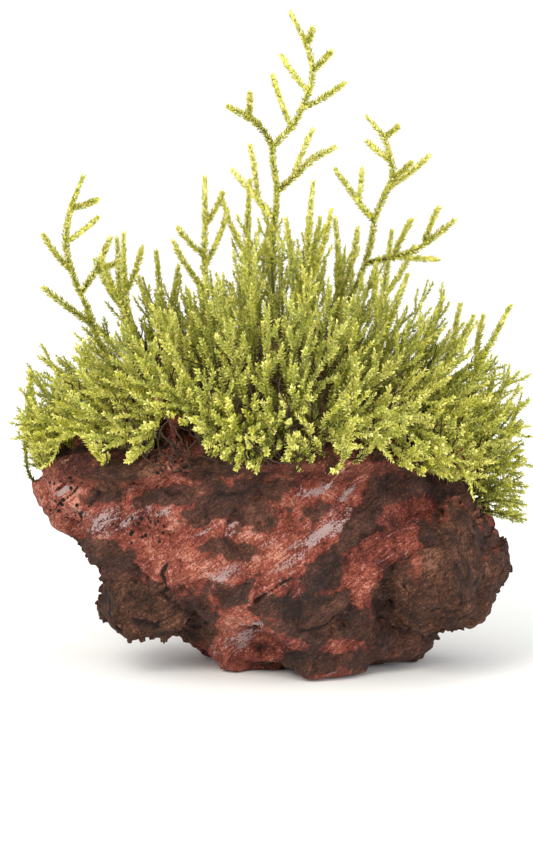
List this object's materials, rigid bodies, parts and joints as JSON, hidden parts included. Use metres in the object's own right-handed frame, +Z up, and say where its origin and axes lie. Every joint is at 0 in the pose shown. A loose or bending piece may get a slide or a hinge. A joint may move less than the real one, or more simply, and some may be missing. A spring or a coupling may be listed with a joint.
{
  "type": "moss clump",
  "caption": "Dense dome of branched moss with tall forked shoots, growing on a loose red stone that brown earth clings to; stands on the stone's flat underside.",
  "frame": {"origin": "on the flat patch of the stone's underside that the clump stands on, below the tall centre shoot", "axes": "+Z up, +X to the right as the clump's front is looked at, +Y from the front to the back"},
  "size_m": [0.111, 0.0773, 0.1472],
  "materials": {
    "red_stone": "matte",
    "brown_earth": "matte",
    "moss_turf": "matte",
    "moss_shoot": "matte"
  },
  "bodies": {
    "root": {"back_centre_shoot": "moss_shoot", "back_left_shoot": "moss_shoot", "back_right_shoot": "moss_shoot", "centre_shoot_left_limb": "moss_shoot", "centre_shoot_low_limb": "moss_shoot", "centre_shoot_right_limb": "moss_shoot", "centre_shoot_stem": "moss_shoot", "crown_right_shoot": "moss_shoot", "crown_shoot": "moss_shoot", "earth_bed": "brown_earth", "earth_crust_right": "brown_earth", "earth_lobe_left": "brown_earth", "inner_left_shoot": "moss_shoot", "left_end_shoot": "moss_shoot", "left_forked_shoot": "moss_shoot", "left_shoot_low_limb": "moss_shoot", "left_shoot_right_limb": "moss_shoot", "left_shoot_stem": "moss_shoot", "left_short_shoot": "moss_shoot", "moss_tuft_left_back": "moss_turf", "moss_tuft_left_front": "moss_turf", "moss_tuft_middle_back": "moss_turf", "moss_tuft_middle_front": "moss_turf", "moss_tuft_right_back": "moss_turf", "moss_tuft_right_front": "moss_turf", "red_stone": "red_stone", "right_end_shoot": "moss_shoot", "right_leaning_shoot": "moss_shoot", "right_outer_shoot": "moss_shoot", "right_shoot_arching_limb": "moss_shoot", "right_shoot_left_limb": "moss_shoot", "right_shoot_stem": "moss_shoot", "right_upright_shoot": "moss_shoot"}
  },
  "joints": []
}
